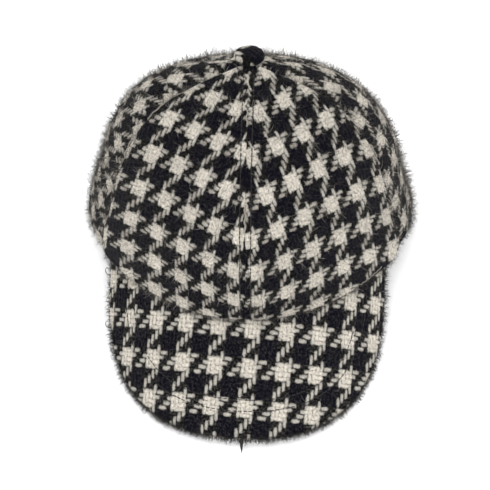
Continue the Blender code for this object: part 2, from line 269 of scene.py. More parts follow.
def extended_crown(level, azimuth):
    """The crown's outside, with its lowest part moved onto the peak and the floor, and run on below it."""
    level, azimuth = np.broadcast_arrays(np.asarray(level, float), np.asarray(azimuth, float))
    points = crown_surface(np.minimum(level, 1), azimuth)
    rim = crown_surface(np.ones_like(level), azimuth)
    move = rim_heights(rim, wrapped(azimuth)) - rim[..., 2]
    points[..., 2] += move * np.clip((level - RIM_FIT_LEVEL) / (1 - RIM_FIT_LEVEL), 0, 1)
    slope = (rim - crown_surface(np.full_like(level, 0.99), azimuth)) / 0.01
    return points + slope * np.expand_dims(np.maximum(level - 1, 0), -1)


def waves(points):
    """A soft uneven field over the crown, about -1 to 1, the same on both sides of a seam."""
    pick = np.random.default_rng(WAVE_SEED)
    total = np.zeros(points.shape[:-1])
    for _ in range(WAVES):
        direction = unit(pick.normal(size=3))
        rate = math.tau / (WAVE_LENGTH * pick.uniform(0.6, 1.6))
        total += np.sin(rate * (points @ direction) + pick.uniform(0, math.tau))
    return total / 4


def lean(points, foot=BACK_FOOT_Y):
    """Leans upright points forward about the foot of the back rim, and directions with the foot at 0."""
    out = np.array(points, float)
    y, out[..., 2] = rotated(out[..., 1] - foot, out[..., 2].copy(), LEAN)
    out[..., 1] = foot + y
    return out


def surface_axes(surface, flat):
    """Unit vectors to the right along a piece of cloth and straight out of it."""
    level = np.zeros(len(flat))
    right, down = (surface(flat + step, level) - surface(flat - step, level)
                   for step in (np.array([FLAT_STEP, 0]), np.array([0, FLAT_STEP])))
    return unit(right), unit(np.cross(down, right))


# ---------------------------------------------------------------- how the check lies

def weave(counts):
    """The 2/2 twill at thread counts: the height of the thread on top, 0 to 1, and whether it is cream."""
    i, j = np.floor(counts.T)
    fu, fv = counts.T - (i, j)
    step = np.mod(i + j, 4)
    warp_on_top = step >= 2
    across = np.where(warp_on_top, fu, fv)
    along = (step - 2 * warp_on_top + np.where(warp_on_top, fv, fu)) / 2
    bow = np.sqrt(np.sin(np.pi * np.clip(along, 0, 1)))
    height = np.sqrt(np.clip(1 - (2 * across - 1) ** 2, 0, 1) * bow)
    warp_cream = np.mod(i, THREADS) < THREADS / 2
    weft_cream = np.mod(j, THREADS) >= THREADS / 2
    return height, np.where(warp_on_top, warp_cream, weft_cream)


def straight_check(repeat, turn, middle, counts_there):
    """Thread counts of flat places, and the other way round, on cloth that isn't stretched.
    """
    pitch = np.array(repeat) / THREADS

    def threads(flat):
        return (np.stack(rotated(*flat.T, turn), axis=1) - middle) / pitch + counts_there

    def flat_of(counts):
        return np.stack(rotated(*((counts - counts_there) * pitch + middle).T, -turn), axis=1)
    return threads, flat_of


def straightened(value, power, limit):
    """A value's power, run on along its tangent beyond the limit."""
    near = np.clip(value, -limit, limit)
    return near ** power + power * near ** (power - 1) * (value - near)


def check_counts(entry, a, d):
    """Thread counts at places on a panel."""
    a_limit, d_limit = STRAIGHT_FROM
    terms = np.stack([np.ones_like(a), a, d, straightened(a, 2, a_limit), a * d,
                      straightened(d, 2, d_limit), straightened(d, 3, d_limit)], axis=-1)
    repeats = np.stack([terms @ np.array(entry[way]) for way in ("across", "down")], axis=-1)
    return THREADS * repeats + STAR_AT


def panel_check(entry):
    """Thread counts of flat places on a panel, and the other way round."""
    step = COUNT_STEP

    def threads(flat):
        return check_counts(entry, *((flat - [0, CHECK_MIDDLE]) / CHECK_SPAN).T)

    def flat_of(counts):
        place = np.zeros((len(counts), 2))
        for _ in range(SOLVER_PASSES):
            a, d = place.T
            slopes = [(check_counts(entry, a + da, d + dd) - check_counts(entry, a - da, d - dd)) / (2 * step)
                      for da, dd in ((step, 0), (0, step))]
            gap = counts - check_counts(entry, a, d)
            place = place + np.linalg.solve(np.stack(slopes, axis=-1), gap[..., None])[..., 0]
            place = np.clip(place, -CHECK_REACH, CHECK_REACH)
        gap = counts - check_counts(entry, *place.T)
        place[np.abs(gap).max(axis=1) > SOLVED_WITHIN] = 2 * CHECK_REACH
        return place * CHECK_SPAN + [0, CHECK_MIDDLE]
    return threads, flat_of


class Panel:
    """One panel laid flat: across is the arc from its grain line at one level, down the way from the apex."""

    def __init__(self, start, end, grain):
        self.levels = np.linspace(0, PANEL_LAST_LEVEL, PANEL_LEVELS)
        self.shares = np.linspace(0, 1, PANEL_SHARES)
        azimuths = np.linspace(start - PANEL_BESIDE, end + PANEL_BESIDE, PANEL_AZIMUTHS)
        points = extended_crown(self.levels[:, None], azimuths[None, :])
        steps = np.linalg.norm(np.diff(points, axis=1), axis=-1)
        arcs = np.concatenate([np.zeros((len(self.levels), 1)), np.cumsum(steps, axis=1)], axis=1)
        arcs = arcs - np.array([np.interp(grain, azimuths, row) for row in arcs])[:, None]
        self.width = arcs[:, -1] - arcs[:, 0]
        safe = np.maximum(self.width, 1e-9)
        self.low = arcs[:, 0] / safe
        self.low[0] = self.low[1]
        rows = [np.interp(self.shares, (row - row[0]) / w, azimuths) for row, w in zip(arcs[1:], safe[1:])]
        self.table = np.array([rows[0]] + rows)
        self.downs = lengths_along(extended_crown(self.levels, grain))
        self.bottom = float(np.interp(1, self.levels, self.downs))

    def measures(self, down):
        """At those downs: the level, the row in the table, the width and the left end's share of it."""
        level = np.interp(down, self.downs, self.levels)
        row = np.clip(level / self.levels[-1], 0, 1) * (len(self.levels) - 1)
        return level, row, np.interp(level, self.levels, self.width), np.interp(level, self.levels, self.low)

    def place(self, flat):
        """The level and azimuth at flat places."""
        level, row, width, low = self.measures(flat[..., 1])
        share = np.clip(flat[..., 0] / np.maximum(width, 1e-9) - low, 0, 1) * (len(self.shares) - 1)
        r = np.minimum(row.astype(int), len(self.levels) - 2)
        c = np.minimum(share.astype(int), len(self.shares) - 2)
        a, b, table = row - r, share - c, self.table
        azimuth = (table[r, c] * (1 - b) + table[r, c + 1] * b) * (1 - a)
        return level, azimuth + (table[r + 1, c] * (1 - b) + table[r + 1, c + 1] * b) * a

    def edge(self, down, azimuth):
        """Across, at those downs, of the line at an azimuth."""
        _, row, width, low = self.measures(down)
        share = np.array([np.interp(azimuth, self.table[int(round(k))], self.shares) for k in row.ravel()])
        return (share.reshape(row.shape) + low) * width

    def below_button(self, share):
        """Down, at a share of the way from the button to the rim."""
        return BUTTON_CLEARANCE + (self.bottom - BUTTON_CLEARANCE) * share

    def surface(self, flat, above):
        """Points at a distance above the crown, drawn in along its seams and stitch rows."""
        level, azimuth = self.place(flat)
        points, normals = extended_crown(level, azimuth), crown_normals(np.clip(level, 0.01, 1), azimuth)
        radius = plan_radius(points)
        dip = np.zeros(radius.shape)
        for panel in PANELS:
            turn = np.abs(wrapped(azimuth - math.radians(panel["start"])))
            dip = np.maximum(dip, SEAM_DIP * np.exp(-(turn * radius / SEAM_DIP_WIDTH) ** 2))
        dip = dip * (1 - np.exp(-(radius / SEAM_FADE_RADIUS) ** 2))
        front = np.abs(wrapped(azimuth)) < 1
        beside = np.abs(np.abs(azimuth) * radius - TOPSTITCH_OFFSET)
        groove = GROOVE_DEPTH * np.exp(-(beside / GROOVE_WIDTH) ** 2) * front
        fade = np.clip(radius / UNEVEN_RADIUS, 0, 1) * np.clip((1.02 - level) / 0.1, 0, 1)
        lift = above - dip - groove + UNEVENNESS * waves(points) * fade
        return points + normals * np.expand_dims(lift, -1)


# ---------------------------------------------------------------- meshes

OUTLINE_SIDE = 160              # points on each side of a cloth's outline


def grid_faces(index, closed=False):
    """The four-sided faces between rows of vertices; closed rows join their two ends."""
    if closed:
        index = np.concatenate([index, index[:, :1]], axis=1)
    corners = index[:-1, :-1], index[:-1, 1:], index[1:, 1:], index[1:, :-1]
    return np.stack(corners, axis=-1).reshape(-1, 4)


def tube_faces(index):
    """The side faces of a tube between its rings of vertices, and the triangles of its two ends."""
    fan = np.array([(0, k + 1, k) for k in range(1, index.shape[1] - 1)])
    return grid_faces(index, closed=True), np.concatenate([index[0][fan], index[-1][fan[:, ::-1]]])


def directed_border(faces):
    """The vertices of a patch's one border, in the order of its faces."""
    sides = np.concatenate([faces[:, [k, (k + 1) % 4]] for k in range(4)])
    count = int(sides.max()) + 1
    forward, backward = sides[:, 0] * count + sides[:, 1], sides[:, 1] * count + sides[:, 0]
    alone = sides[~np.isin(forward, backward)]
    after = dict(alone.tolist())
    start = int(alone[0, 0])
    loop = [start]
    while after[loop[-1]] != start:
        loop.append(after[loop[-1]])
    if len(loop) != len(alone):
        raise ValueError("a patch of cloth has more than one border")
    return np.array(loop)


def inside_outline(points, outline):
    """Whether each point lies inside a closed outline."""
    inside = np.zeros(len(points), bool)
    for (x0, y0), (x1, y1) in zip(outline, np.roll(outline, -1, axis=0)):
        crosses = (y0 > points[:, 1]) != (y1 > points[:, 1])
        if crosses.any():
            at = x0 + (points[crosses, 1] - y0) * (x1 - x0) / (y1 - y0)
            inside[crosses] ^= points[crosses, 0] < at
    return inside


def outline_places(points, outline, before):
    """How far along an outline the nearest place to each point is; before is how far its own points are."""
    along = np.roll(outline, -1, axis=0) - outline
    length = np.linalg.norm(along, axis=1)
    places = np.empty(len(points))
    for k, point in enumerate(points):
        share = ((point - outline) * along).sum(axis=1) / np.maximum(length ** 2, 1e-18)
        share = np.clip(share, 0, 1)
        gap = np.linalg.norm(outline + along * share[:, None] - point, axis=1)
        best = int(np.argmin(gap))
        places[k] = before[best] + share[best] * length[best]
    return places


def zip_chains(fine, fine_places, coarse, coarse_places):
    """Triangles between two chains of vertices that run side by side."""
    a, b, faces = 0, 0, []
    while a < len(fine) - 1 or b < len(coarse) - 1:
        if b == len(coarse) - 1 or (a < len(fine) - 1 and fine_places[a + 1] <= coarse_places[b + 1]):
            faces.append((fine[a + 1], fine[a], coarse[b]))
            a += 1
        else:
            faces.append((fine[a], coarse[b], coarse[b + 1]))
            b += 1
    return faces


def add_piece(name, points, groups, slot, material, lowest=0.0):
    """A mesh of faces in groups, each with its own thread counts, leaned forward and riding on the body."""
    mesh = bpy.data.meshes.new(name)
    points = lean(points)
    points[:, 2] = np.maximum(points[:, 2], lowest)
    corners = np.concatenate([faces.ravel() for faces, _ in groups])
    sizes = np.concatenate([np.full(len(faces), faces.shape[1]) for faces, _ in groups])
    counts = np.concatenate([values[faces.ravel()] for faces, values in groups])
    mesh.vertices.add(len(points))
    mesh.vertices.foreach_set("co", points.astype(np.float32).ravel())
    mesh.loops.add(len(corners))
    mesh.loops.foreach_set("vertex_index", corners.astype(np.int32))
    mesh.polygons.add(len(sizes))
    mesh.polygons.foreach_set("loop_start", np.append(0, np.cumsum(sizes))[:-1].astype(np.int32))
    mesh.update(calc_edges=True)
    mesh.uv_layers.new(name="threads").data.foreach_set("uv", counts.astype(np.float32).ravel())
    mesh.validate()
    mesh.materials.append(material)
    mesh.shade_smooth()
    piece = bpy.data.objects.new(name, mesh)
    bpy.context.scene.collection.objects.link(piece)
    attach(piece, "root")
    return piece


class Cloth:
    """A closed piece of cloth that stands for a node, with threads in relief outside and a plain inside.

    The domain gives flat places for s and t from 0 to 1, the surface bends them into shape at a distance
    above it, threads and flat_of say how the check lies, and radius is the edge's. Rings go round the
    rounded edge, and the inside has rows and columns.
    """

    def __init__(self, node, slot, material, relief, domain, surface, check, radius, rings, rows, columns):
        self.node, self.slot, self.relief, self.surface = node, slot, relief, surface
        self.threads, self.flat_of = check
        t = np.linspace(0, 1, OUTLINE_SIDE, endpoint=False)
        outline = np.concatenate([domain(0 * t, t), domain(t, 0 * t + 1), domain(0 * t + 1, 1 - t),
                                  domain(1 - t, 0 * t)])
        flat, quads = self.cut_cells(outline)
        loop, places, corners, marks, outward = self.pin_edge(flat, quads, outline)
        edge, reach = flat[loop], radius(flat[loop])

        counts = [self.threads(flat)]
        points = [surface(flat, relief * (weave(counts[0])[0] - 1))]
        for theta in math.pi * np.arange(1, rings + 1) / rings:
            counts.append(self.threads(edge + outward * reach[:, None] * theta))
            raised = reach + relief * (weave(counts[-1])[0] - 1) * max(0, math.cos(theta))
            points.append(surface(edge + outward * (raised * math.sin(theta))[:, None],
                                  raised * math.cos(theta) - reach))
        first = len(flat) + rings * len(loop)
        round_edge = np.vstack([loop, np.arange(len(flat), first).reshape(rings, -1)])

        s, t = np.meshgrid(np.linspace(0, 1, columns + 1), np.linspace(0, 1, rows + 1))
        inner_flat = domain(s.ravel(), t.ravel())
        points = np.concatenate(points + [surface(inner_flat, -2 * radius(inner_flat))])
        index = np.arange(first, len(points)).reshape(rows + 1, columns + 1)
        last, places = np.append(round_edge[-1], round_edge[-1, 0]), np.append(places, corners[-1])
        strip = []
        for side, chain in enumerate((index[:, 0], index[-1, :], index[::-1, -1], index[0, ::-1])):
            part = slice(marks[side], marks[side + 1] + 1)
            shares = (places[part] - corners[side]) / (corners[side + 1] - corners[side])
            strip += zip_chains(last[part], shares, chain, np.linspace(0, 1, len(chain)))

        outside = np.concatenate(counts + [np.zeros((len(inner_flat), 2))])
        inside = np.zeros((len(points), 2))
        inside[first:] = self.threads(inner_flat)
        inside[round_edge[-1]] = self.threads(edge)
        outer = np.concatenate([quads, grid_faces(round_edge, closed=True)[:, [1, 0, 3, 2]]])
        groups = [(outer, outside), (grid_faces(index), inside), (np.array(strip), inside)]
        self.cells, self.edge = flat[quads], (edge, outward, reach)
        self.piece = add_piece(node + "_wool", points, groups, slot, material)
        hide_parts(node)

    def cut_cells(self, outline):
        """The corners and the faces of the cells of thread whose middles lie inside an outline."""
        counts = self.threads(outline)
        low, high = np.floor(counts.min(axis=0)) - 1, np.ceil(counts.max(axis=0)) + 1
        us, vs = (np.arange(a, b, 1 / SUB_CELLS) for a, b in zip(low, high))
        flat = self.flat_of(np.stack(np.meshgrid(us, vs), axis=-1).reshape(-1, 2))
        grid = flat.reshape(len(vs), len(us), 2)
        middles = (grid[:-1, :-1] + grid[1:, :-1] + grid[:-1, 1:] + grid[1:, 1:]) / 4
        kept = inside_outline(middles.reshape(-1, 2), outline).reshape(middles.shape[:2])
        for _ in range(PINCH_PASSES):
            a, b, c, d = kept[:-1, :-1], kept[:-1, 1:], kept[1:, :-1], kept[1:, 1:]
            pinched = (a & d & ~b & ~c) | (b & c & ~a & ~d)
            for part in (a, b, c, d):
                part |= pinched
        quads = grid_faces(np.arange(len(flat)).reshape(grid.shape[:2]))[kept.ravel()][:, [0, 3, 2, 1]]
        used, quads = np.unique(quads, return_inverse=True)
        return flat[used], quads.reshape(-1, 4)

    def pin_edge(self, flat, quads, outline):
        """Moves the border of the cells onto the outline.

        Gives the border's vertices and their places along the outline, its four corners and where they are in
        the border (with the first one again at the end), and the flat directions out of the cloth.
        """
        closed = np.concatenate([outline, outline[:1]])
        length = lengths_along(closed)
        whole, corners = length[-1], length[::OUTLINE_SIDE]
        loop = directed_border(quads)
        turn = int(np.argmin(np.linalg.norm(flat[loop] - outline[0], axis=1)))
        loop = np.roll(loop, -turn)
        places = outline_places(flat[loop], outline, length)
        places[0] = 0
        half = len(places) // 2
        places[1:half][places[1:half] > 0.75 * whole] = 0
        places[half:][places[half:] < 0.25 * whole] = whole
        places = np.maximum.accumulate(places)
        marks = [0]
        for at in corners[1:4]:
            marks.append(int(np.argmin(np.abs(places - at))))
            places[marks[-1]] = at
        places = np.maximum.accumulate(places)

        def on_outline(place):
            return read_rows(np.mod(place, whole), length, closed)

        flat[loop] = on_outline(places)
        along = unit(on_outline(places + OUTLINE_STEP) - on_outline(places - OUTLINE_STEP))
        return loop, places, corners, marks + [len(loop)], left_of(along)

    def grow_over(self, prefix, growth, count, seed):
        """Fibres all over the cloth, toned by the threads that they grow from."""
        pick, count = np.random.default_rng(seed), int(count)
        quad = self.cells[pick.integers(0, len(self.cells), count)[wisps(count, **growth)]]
        a, b = pick.random((count, 1)), pick.random((count, 1))
        flat = (quad[:, 0] * (1 - b) + quad[:, 1] * b) * (1 - a) + (quad[:, 3] * (1 - b) + quad[:, 2] * b) * a
        height, cream = weave(self.threads(flat))
        root = self.surface(flat, self.relief * (height - 1) - FIBRE_ROOT_DEPTH)
        axes = surface_axes(self.surface, flat)
        grow_fibres(f"{prefix}_{self.node}", self.slot, pick, root, *axes, cream, **growth)

    def grow_round(self, prefix, growth, count, seed, kept):
        """Fibres round the rounded edge, where the edge's places are kept."""
        pick, count = np.random.default_rng(seed), int(count)
        flat, outward, radius = self.edge
        first = wisps(count, **growth)
        chosen = pick.choice(np.flatnonzero(kept), count)[first]
        share = pick.random((count, 1))
        place = flat[chosen] * (1 - share) + flat[(chosen + 1) % len(flat)] * share
        away, reach = outward[chosen], radius[chosen]
        theta = pick.uniform(*EDGE_FIBRE_TURNS, count)[first] * math.pi
        core, inner = self.surface(place, -reach), EDGE_FIBRE_ROOT * reach
        root = self.surface(place + away * (inner * np.sin(theta))[:, None], inner * np.cos(theta) - reach)
        normal = unit(root - core)
        right = unit(np.cross(normal, self.surface(place + FLAT_STEP * away, -reach) - core))
        cream = weave(self.threads(place))[1]
        grow_fibres(f"{prefix}_{self.node}", self.slot, pick, root, right, normal, cream, **growth)


# ---------------------------------------------------------------- materials

def linear(red, green, blue):
    """A colour given as 0 to 255 on screen, as the linear values that a shader takes."""
    values = np.array([red, green, blue]) / 255
    values = np.where(values <= 0.04045, values / 12.92, ((values + 0.055) / 1.055) ** 2.4)
    return (*values.tolist(), 1)


CREAM = linear(222, 215, 203)
SINGLE_CREAM = linear(193, 189, 180)
CREAM_SHADE = linear(140, 134, 125)
# Painted shade for the holes between pale threads.
PAINTED_GAP_SHADE = linear(84, 78, 72)
BLACK = linear(6, 6, 7)
BLUE_BLACK = linear(5, 5, 18)
# The blackest fibres' own colour, and also the painted shade in the holes between black threads.
DEEP_BLACK = linear(5, 5, 6)
FLUFF_GREY = linear(78, 76, 74)
SHEEN = {"Sheen Weight": 0.04, "Sheen Roughness": 0.45, "Sheen Tint": linear(235, 233, 230)}
# The size of a float as a share of its cell, and how square its sides and ends are.
FLOAT_WIDTH, FLOAT_SIDES = 0.76, 2.4
FLOAT_LENGTH, FLOAT_ENDS = 0.96, 3.0
BUMP_DEPTH = 0.35 * MM
# Noise over the thread counts: its scale, detail and roughness.
NOISES = {"slow": (0.3, 1, 0.5), "quick": (2.6, 3, 0.65), "fluff": (7, 4, 0.7), "rag": (4.5, 3, 0.6),
          "patch": (0.8, 2, 0.5), "mottle": (1.9, 3, 0.7), "hair": (9, 3, 0.6)}
# Ramps of the cloth: where each starts and ends, and what it goes from and to. Those from "joined" to
# "dimmed" go over the distance from a star's middle, in threads, those from "shown" to "deep" over the way
# out of a float, and the others over noise. "gap" and "deep" paint shade into the holes between threads.
RAMPS = {"joined": (1.8, 3.4), "body": (1.55, 2.1, 1, 0), "dimmed": (2.6, 4.2),
         "shown": (-0.3, 2.1, 1, 0), "height": (0, 2.2, 1, 0), "gap": (0.9, 2.8), "deep": (0.8, 2, 0, 0.5),
         "mottled": (0.4, 0.66, 0, 0.7), "fluffy": (0.5, 0.8, 0, 0.35), "hairy": (0.5, 0.85, 0, 0.5),
         "matted": (0.47, 0.64, 0, 0.9), "patchy": (0.25, 0.75, 0.4, 1), "rough": (0.3, 0.8, 0.8, 0.97)}


class Value:
    """What a node gives. Sums with a value add Math nodes to its material."""

    def __init__(self, tree, socket):
        self.tree, self.socket = tree, socket

    def __rsub__(self, number):
        return self.tree.math("SUBTRACT", number, self)


def math_method(operation):
    return lambda value, *others: value.tree.math(operation, value, *others)


for method, operation in {
        "__add__": "ADD", "__sub__": "SUBTRACT", "__mul__": "MULTIPLY", "__truediv__": "DIVIDE",
        "__pow__": "POWER", "__mod__": "FLOORED_MODULO", "__abs__": "ABSOLUTE", "__lt__": "LESS_THAN",
        "__gt__": "GREATER_THAN", "floor": "FLOOR", "fraction": "FRACT", "least": "MINIMUM",
        "most": "MAXIMUM"}.items():
    setattr(Value, method, math_method(operation))


class Tree:
    """Shorthand for adding shader nodes to one material."""

    def __init__(self, name):
        self.material = bpy.data.materials.new(name)
        self.material.use_nodes = True
        self.nodes, self.links = self.material.node_tree.nodes, self.material.node_tree.links

    def put(self, value, socket):
        if isinstance(value, Value):
            self.links.new(value.socket, socket)
        else:
            socket.default_value = value

    def add(self, kind, inputs=(), outputs=(0,), **settings):
        """Adds a node, fills its inputs by name or number, and gives the value of each output asked for."""
        node = self.nodes.new("ShaderNode" + kind)
        for key, value in settings.items():
            setattr(node, key, value)
        for key, value in dict(inputs).items():
            self.put(value, node.inputs[key])
        values = [Value(self, node.outputs[key]) for key in outputs]
        return values[0] if len(values) == 1 else values

    def thread_counts(self):
        return self.add("UVMap", uv_map="threads")

    def split(self, vector):
        return self.add("SeparateXYZ", {0: vector}, ("X", "Y"))

    def math(self, operation, *values):
        return self.add("Math", enumerate(values), operation=operation)

    def vector(self, operation, *values):
        return self.add("VectorMath", enumerate(values), operation=operation)

    def pushed(self, noise, size):
        """A noise's colour as a push, about 0 on average."""
        centred = self.vector("SUBTRACT", noise, (0.5, 0.5, 0.5))
        return self.add("VectorMath", {0: centred, "Scale": size}, operation="SCALE")

    def noise(self, vector, scale, detail=2, roughness=0.5, output="Fac"):
        inputs = {"Vector": vector, "Scale": scale, "Detail": detail, "Roughness": roughness}
        return self.add("TexNoise", inputs, (output,))

    def between(self, share, low, high):
        """Low plus share times the step to high, for numbers."""
        return self.add("Mix", {0: share, 2: low, 3: high}, data_type="FLOAT")

    def colour(self, share, low, high):
        return self.add("Mix", {0: share, 6: low, 7: high}, (2,), data_type="RGBA")

    def ramp(self, value, low, high, to_low=0, to_high=1, kind="SMOOTHSTEP"):
        inputs = {"Value": value, "From Min": low, "From Max": high, "To Min": to_low, "To Max": to_high}
        return self.add("MapRange", inputs, interpolation_type=kind)

    def bump(self, height, strength, depth):
        return self.add("Bump", {"Height": height, "Strength": strength, "Distance": depth})

    def finished(self, inputs):
        """Fills the shader's sockets and gives the material."""
        for key, value in inputs.items():
            self.put(value, self.nodes["Principled BSDF"].inputs[key])
        return self.material


def off_star(count, middle):
    """How many threads a count is away from the nearest star's middle."""
    off = abs(count % THREADS - middle)
    return off.least(THREADS - off)


def cloth_material(name, wander, fray, ragged, haze, gap_shade, bump, joined=0, dimmed=0):
    """Houndstooth in thread counts.

    Wander and fray bend the threads, ragged breaks up the edges of each float, haze greys the black with
    fluff, gap_shade sets how strongly painted shade darkens the holes between pale threads, joined widens the
    floats next to a star and dimmed greys the ones between two stars.
    """
    t, ramps = Tree(name), RAMPS
    uv = t.thread_counts()
    slow, quick = (t.noise(uv, *NOISES[kind], output="Color") for kind in ("slow", "quick"))
    fluff, rag, patch, mottle, hair = (
        t.noise(uv, *NOISES[kind]) for kind in ("fluff", "rag", "patch", "mottle", "hair"))
    push = t.vector("ADD", t.pushed(slow, wander), t.pushed(quick, fray))
    u, v = t.split(t.vector("ADD", uv, push))
    i, j, fu, fv = u.floor(), v.floor(), u.fraction(), v.fraction()
    step = (i + j) % 4
    warp = step > 1.5
    across = t.between(warp, fv, fu)
    along = (step - warp * 2 + t.between(warp, fu, fv)) * 0.5
    rag = (rag - 0.5) * ragged
    wide = (abs(across * 2 - 1) / FLOAT_WIDTH) ** FLOAT_SIDES
    long = (abs(along * 2 - 1) / FLOAT_LENGTH) ** FLOAT_ENDS
    cubes = off_star(u, STAR_AT[0]) ** 3 + off_star(v, STAR_AT[1]) ** 3
    from_star = cubes ** (1 / 3) + rag * 0.35
    outwards = wide + long + rag - t.ramp(from_star, *ramps["joined"], joined, 0)
    body = t.ramp(from_star, *ramps["body"])
    warp_cream, weft_cream = i % THREADS < 3.5, j % THREADS > 3.5
    both_cream, both_black = weft_cream * warp_cream, (1 - weft_cream) * (1 - warp_cream)

    pale = t.colour(both_cream * body, SINGLE_CREAM, CREAM)
    for shade in (t.ramp(mottle, *ramps["mottled"]), t.ramp(from_star, *ramps["dimmed"], 0, dimmed),
                  t.ramp(fluff, *ramps["fluffy"])):
        pale = t.colour(shade, pale, CREAM_SHADE)
    # Painted shade: the pale threads darken towards the holes between them.
    pale = t.colour(t.ramp(outwards, *ramps["gap"], 0, gap_shade), pale, PAINTED_GAP_SHADE)
    greyed = t.ramp(fluff, *ramps["hairy"]) + t.ramp(mottle, *ramps["matted"])
    greyed = greyed * t.ramp(patch, *ramps["patchy"]) * t.between(both_black, haze, haze * 0.4)
    dark = t.colour(greyed, t.colour(both_black, BLACK, BLUE_BLACK), FLUFF_GREY)
    # Painted shade: the black threads darken to DEEP_BLACK towards the holes between them.
    dark = t.colour(t.ramp(outwards, *ramps["deep"]), dark, DEEP_BLACK)
    shown = t.ramp(outwards, *ramps["shown"])
    cream = t.between(warp, weft_cream, warp_cream) * (both_cream * body).most(shown)
    height = t.ramp(outwards, *ramps["height"]) + hair * 0.9
    return t.finished({"Base Color": t.colour(cream, dark, pale), "Normal": t.bump(height, bump, BUMP_DEPTH),
                       "Roughness": t.ramp(fluff, *ramps["rough"]), "Specular IOR Level": 0.04, **SHEEN})


def fibre_material(name):
    """Wool fibres: the first thread count holds each fibre's tone, and the second runs along it."""
    t = Tree(name)
    uv = t.thread_counts()
    tone, along = t.split(uv)
    both = t.colour(t.ramp(tone, 0, 0.5, kind="LINEAR"), DEEP_BLACK, FLUFF_GREY)
    both = t.colour(t.ramp(tone, 0.5, 1, kind="LINEAR"), both, CREAM)
    both = t.colour(t.ramp(t.noise(uv, 14), 0.4, 0.8, 0, 0.25), both, CREAM_SHADE)
    return t.finished({"Base Color": both, "Roughness": t.ramp(along, 0, 1, 0.85, 0.7),
                       "Specular IOR Level": 0.05})


def thread_material(name, colour, shade):
    """Sewing thread: two plies, twisted."""
    t = Tree(name)
    inputs = {"Vector": t.thread_counts(), "Scale": 0.8, "Distortion": 1, "Detail": 1}
    twist = t.add("TexWave", inputs, ("Fac",), bands_direction="DIAGONAL")
    return t.finished({"Base Color": t.colour(twist, shade, colour), "Normal": t.bump(twist, 0.6, 0.1 * MM),
                       "Roughness": t.ramp(twist, 0, 1, 0.75, 0.6)})


crown_cloth = cloth_material("crown_wool", wander=0.7, fray=1.1, ragged=3.0, haze=0.45, gap_shade=0.6, bump=0.6,
                             joined=0.3, dimmed=0.7)
peak_cloth = cloth_material("peak_wool", wander=0.5, fray=0.8, ragged=2.2, haze=1.2, gap_shade=0.85, bump=0.8)
button_cloth = cloth_material("button_wool", wander=0.6, fray=1.0, ragged=2.5, haze=0.3, gap_shade=0.5, bump=0.6)
fibres = fibre_material("wool_fibres")
dark_thread = thread_material("dark_thread", linear(34, 32, 31), linear(10, 10, 10))
pale_thread = thread_material("pale_thread", linear(205, 198, 186), linear(120, 113, 104))


# ---------------------------------------------------------------- the camera, the light and the floor

CAMERA_ELEVATION = math.radians(54.4977)
CAMERA_YAW = math.radians(2.4757)
CAMERA_ROLL = math.radians(0.9863)
CAMERA_DISTANCE = 851.79 * MM
CAMERA_TARGET = (-3.446 * MM, APEX_Y - 15.216 * MM, -6.562 * MM)    # upright, before the cap's lean
IMAGE_SIZE = 490
FOCAL_PIXELS = 1314.68
SENSOR = 36
LIGHT_TARGET = (0, 0, 0.06)
# Place, size and power.
LIGHTS = {"key": ((-0.5, -0.6, 1.7), 1.2, 14), "fill": ((0.7, -1.3, 0.9), 1.2, 10),
          "back": ((0.2, 1.3, 1.3), 1.4, 8)}
WORLD_STRENGTH = 0.75
FLOOR_HALF = 6
FLOOR_GLOW = 0.25


def add_to_scene(name, data):
    added = bpy.data.objects.new(name, data)
    bpy.context.scene.collection.objects.link(added)
    return added


def add_camera():
    away = np.array([math.sin(CAMERA_YAW) * math.cos(CAMERA_ELEVATION),
                     -math.cos(CAMERA_YAW) * math.cos(CAMERA_ELEVATION), math.sin(CAMERA_ELEVATION)])
    right = np.array([math.cos(CAMERA_YAW), math.sin(CAMERA_YAW), 0])
    axes = [lean(axis, foot=0) for axis in (*rotated(right, np.cross(away, right), CAMERA_ROLL), away)]
    data = bpy.data.cameras.new("camera")
    data.sensor_width = SENSOR
    data.sensor_fit = "HORIZONTAL"
    data.lens = FOCAL_PIXELS / IMAGE_SIZE * SENSOR
    camera = add_to_scene("camera", data)
    place = lean(np.array(CAMERA_TARGET) + CAMERA_DISTANCE * away)
    camera.matrix_world = Matrix([*np.column_stack([*axes, place]).tolist(), [0, 0, 0, 1]])
    bpy.context.scene.camera = camera


def add_light(name, place, size, power):
    data = bpy.data.lights.new(name, "AREA")
    data.shape = "DISK"
    data.size = size
    data.energy = power
    light = add_to_scene(name, data)
    light.location = place
    x, y, z = np.array(LIGHT_TARGET) - place
    light.rotation_euler = (math.atan2(math.hypot(x, y), -z), 0, math.atan2(y, x) - math.pi / 2)


def add_floor():
    t = Tree("floor_paint")
    speckle = t.noise(t.add("TexCoord", outputs=("Object",)), 40, 3)
    paint = t.finished({"Base Color": t.colour(speckle, linear(250, 250, 250), linear(253, 253, 253)),
                        "Roughness": 0.9, "Emission Color": (1, 1, 1, 1), "Emission Strength": FLOOR_GLOW})
    mesh = bpy.data.meshes.new("floor")
    signs = ((-1, -1), (1, -1), (1, 1), (-1, 1))
    mesh.from_pydata([(x * FLOOR_HALF, y * FLOOR_HALF, 0) for x, y in signs], [], [(0, 1, 2, 3)])
    mesh.materials.append(paint)
    add_to_scene("floor", mesh)


add_camera()
for name, light in LIGHTS.items():
    add_light(name, *light)
world = bpy.data.worlds.new("studio")
world.use_nodes = True
world.node_tree.nodes["Background"].inputs["Color"].default_value = (1, 1, 1, 1)
world.node_tree.nodes["Background"].inputs["Strength"].default_value = WORLD_STRENGTH
bpy.context.scene.world = world
bpy.context.scene.view_settings.view_transform = "Standard"
add_floor()


# ---------------------------------------------------------------- fibres

